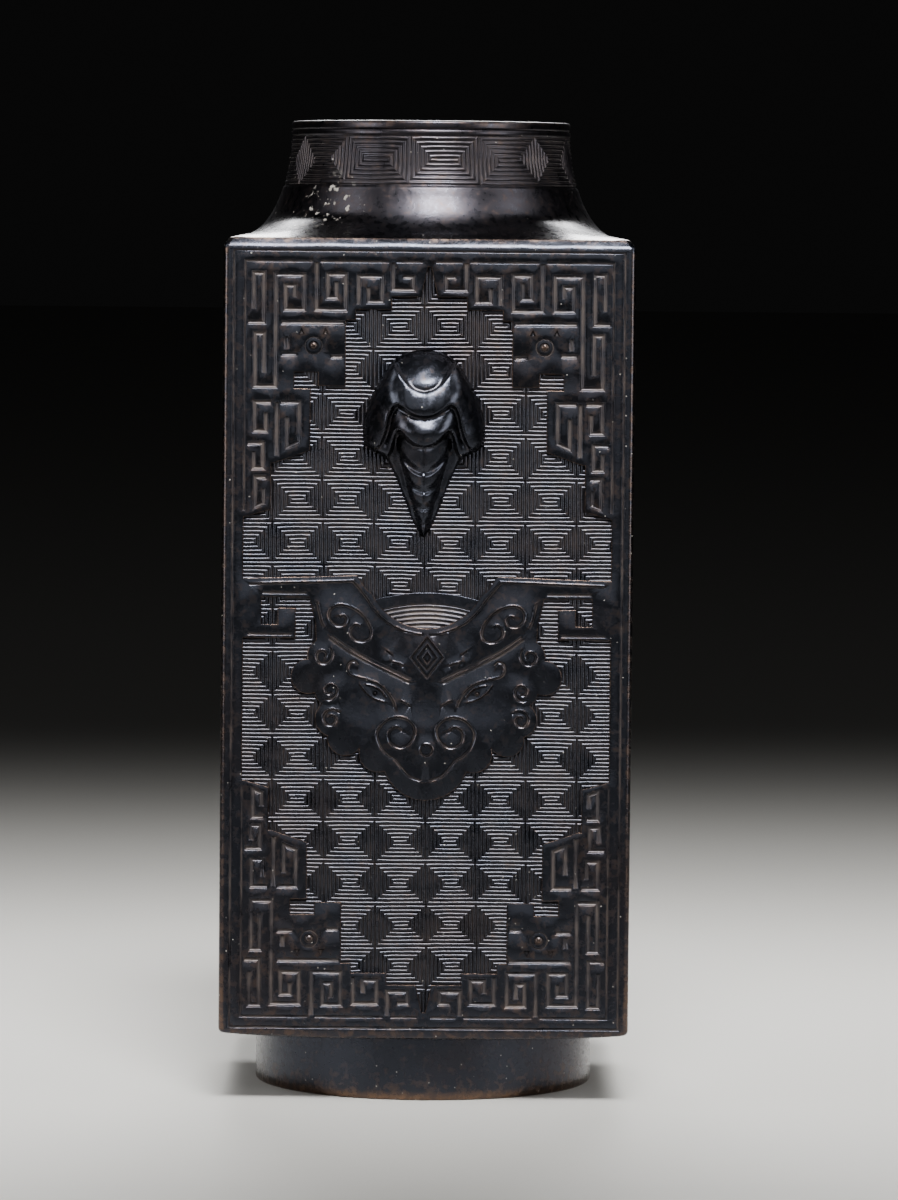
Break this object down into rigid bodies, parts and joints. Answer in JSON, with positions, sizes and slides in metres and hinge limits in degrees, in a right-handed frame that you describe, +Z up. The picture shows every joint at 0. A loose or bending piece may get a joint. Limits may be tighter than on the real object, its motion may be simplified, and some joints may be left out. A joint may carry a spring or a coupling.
{
  "type": "square vase",
  "caption": "Square cong-shaped bronze vase with a round neck and foot, key-fret corners, a horned mask on each face and cicadas in relief on the front and back.",
  "frame": {"origin": "centre of the foot's underside, on the surface that the vase stands on", "axes": "+Z up the vase's axis, -Y towards the viewer in front, +X to the viewer's right"},
  "size_m": [0.125, 0.149, 0.3],
  "materials": {
    "patinated_bronze": "cast and chased bronze with a dark brown-black patina, worn coppery at the edges, with pale dust in the grooves"
  },
  "bodies": {
    "root": {"vase": "patinated_bronze"}
  },
  "joints": []
}
